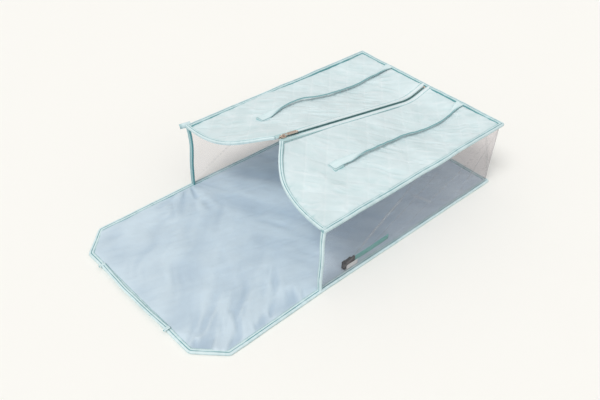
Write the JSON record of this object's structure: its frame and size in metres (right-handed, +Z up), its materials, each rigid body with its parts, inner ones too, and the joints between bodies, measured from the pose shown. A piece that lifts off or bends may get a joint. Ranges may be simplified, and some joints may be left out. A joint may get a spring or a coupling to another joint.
{
  "type": "packing cube",
  "caption": "Soft-sided packing cube with clear side windows, a quilted top split by a zip, a fold-down front flap with a tail, and carrying straps.",
  "frame": {"origin": "centre of the body's underside, on the surface that it stands on", "axes": "+X to the right across the front, +Y from the front flap to the back, +Z up"},
  "size_m": [0.411, 0.7561, 0.2011],
  "materials": {
    "quilt_cloth": "matt quilted polyester",
    "satin_lining": "smooth satin weave",
    "wadding": "lofted white fibre",
    "binding_tape": "folded woven tape",
    "clear_vinyl": "clear glossy sheet",
    "zip_tape": "woven zip tape",
    "zip_nylon": "moulded nylon coil",
    "plated_metal": "polished champagne plating",
    "black_plastic": "moulded, fine texture",
    "teal_webbing": "flat woven webbing",
    "white_tape": "woven tape"
  },
  "bodies": {
    "cube": {"binding_bottom_back": "binding_tape", "binding_bottom_left": "binding_tape", "binding_bottom_right": "binding_tape", "binding_loose_end": "binding_tape", "binding_top_back": "binding_tape", "binding_top_left": "binding_tape", "binding_top_right": "binding_tape", "bottom_fabric": "quilt_cloth", "bottom_lining": "satin_lining", "bottom_wadding": "wadding", "buckle_socket": "black_plastic", "clear_window": "clear_vinyl", "handle_left": "binding_tape", "handle_patch_left": "quilt_cloth", "handle_patch_right": "quilt_cloth", "handle_right": "binding_tape", "post_binding_left": "binding_tape", "post_binding_right": "binding_tape", "scoop_binding_left": "binding_tape", "scoop_binding_right": "binding_tape", "strap_anchor_tape": "white_tape", "top_fabric_left": "quilt_cloth", "top_fabric_right": "quilt_cloth", "top_lining_left": "satin_lining", "top_lining_right": "satin_lining", "top_wadding_left": "wadding", "top_wadding_right": "wadding", "zip_bottom_stop": "plated_metal", "zip_coil_left": "zip_nylon", "zip_coil_right": "zip_nylon", "zip_tape_left": "zip_tape", "zip_tape_right": "zip_tape", "zip_top_stop_left": "plated_metal", "zip_top_stop_right": "plated_metal"},
    "flap": {"flap_binding_left": "binding_tape", "flap_binding_right": "binding_tape", "flap_fabric": "quilt_cloth", "flap_lining": "satin_lining", "flap_wadding": "wadding"},
    "tail": {"pull_strap": "binding_tape", "pull_strap_tab_left": "binding_tape", "pull_strap_tab_right": "binding_tape", "tail_binding": "binding_tape", "tail_fabric": "quilt_cloth", "tail_lining": "satin_lining", "tail_wadding": "wadding"},
    "slider": {"slider_bail": "plated_metal", "zip_slider": "plated_metal"},
    "pull_tab": {"pull_tab": "plated_metal"},
    "buckle_plug": {"buckle_plug": "black_plastic", "hold_down_strap": "teal_webbing"}
  },
  "joints": [
    {"name": "flap_fold", "type": "hinge", "parent": "cube", "child": "flap", "pos_m": [0, -0.2513, 0.0053], "axis": [-1, 0, 0], "range_deg": [0, 90]},
    {"name": "tail_fold", "type": "hinge", "parent": "flap", "child": "tail", "pos_m": [0, -0.4558, 0.0053], "axis": [-1, 0, 0], "range_deg": [0, 90]},
    {"name": "zip_travel", "type": "slide", "parent": "cube", "child": "slider", "axis": [0, 0.9865, -0.1639], "range_m": [0, 0.325]},
    {"name": "pull_tab_swing", "type": "hinge", "parent": "slider", "child": "pull_tab", "pos_m": [0, -0.16753, 0.19768], "axis": [1, 0, 0], "range_deg": [0, 180]},
    {"name": "buckle_release", "type": "slide", "parent": "cube", "child": "buckle_plug", "axis": [0, 1, 0], "range_m": [0, 0.025]}
  ]
}
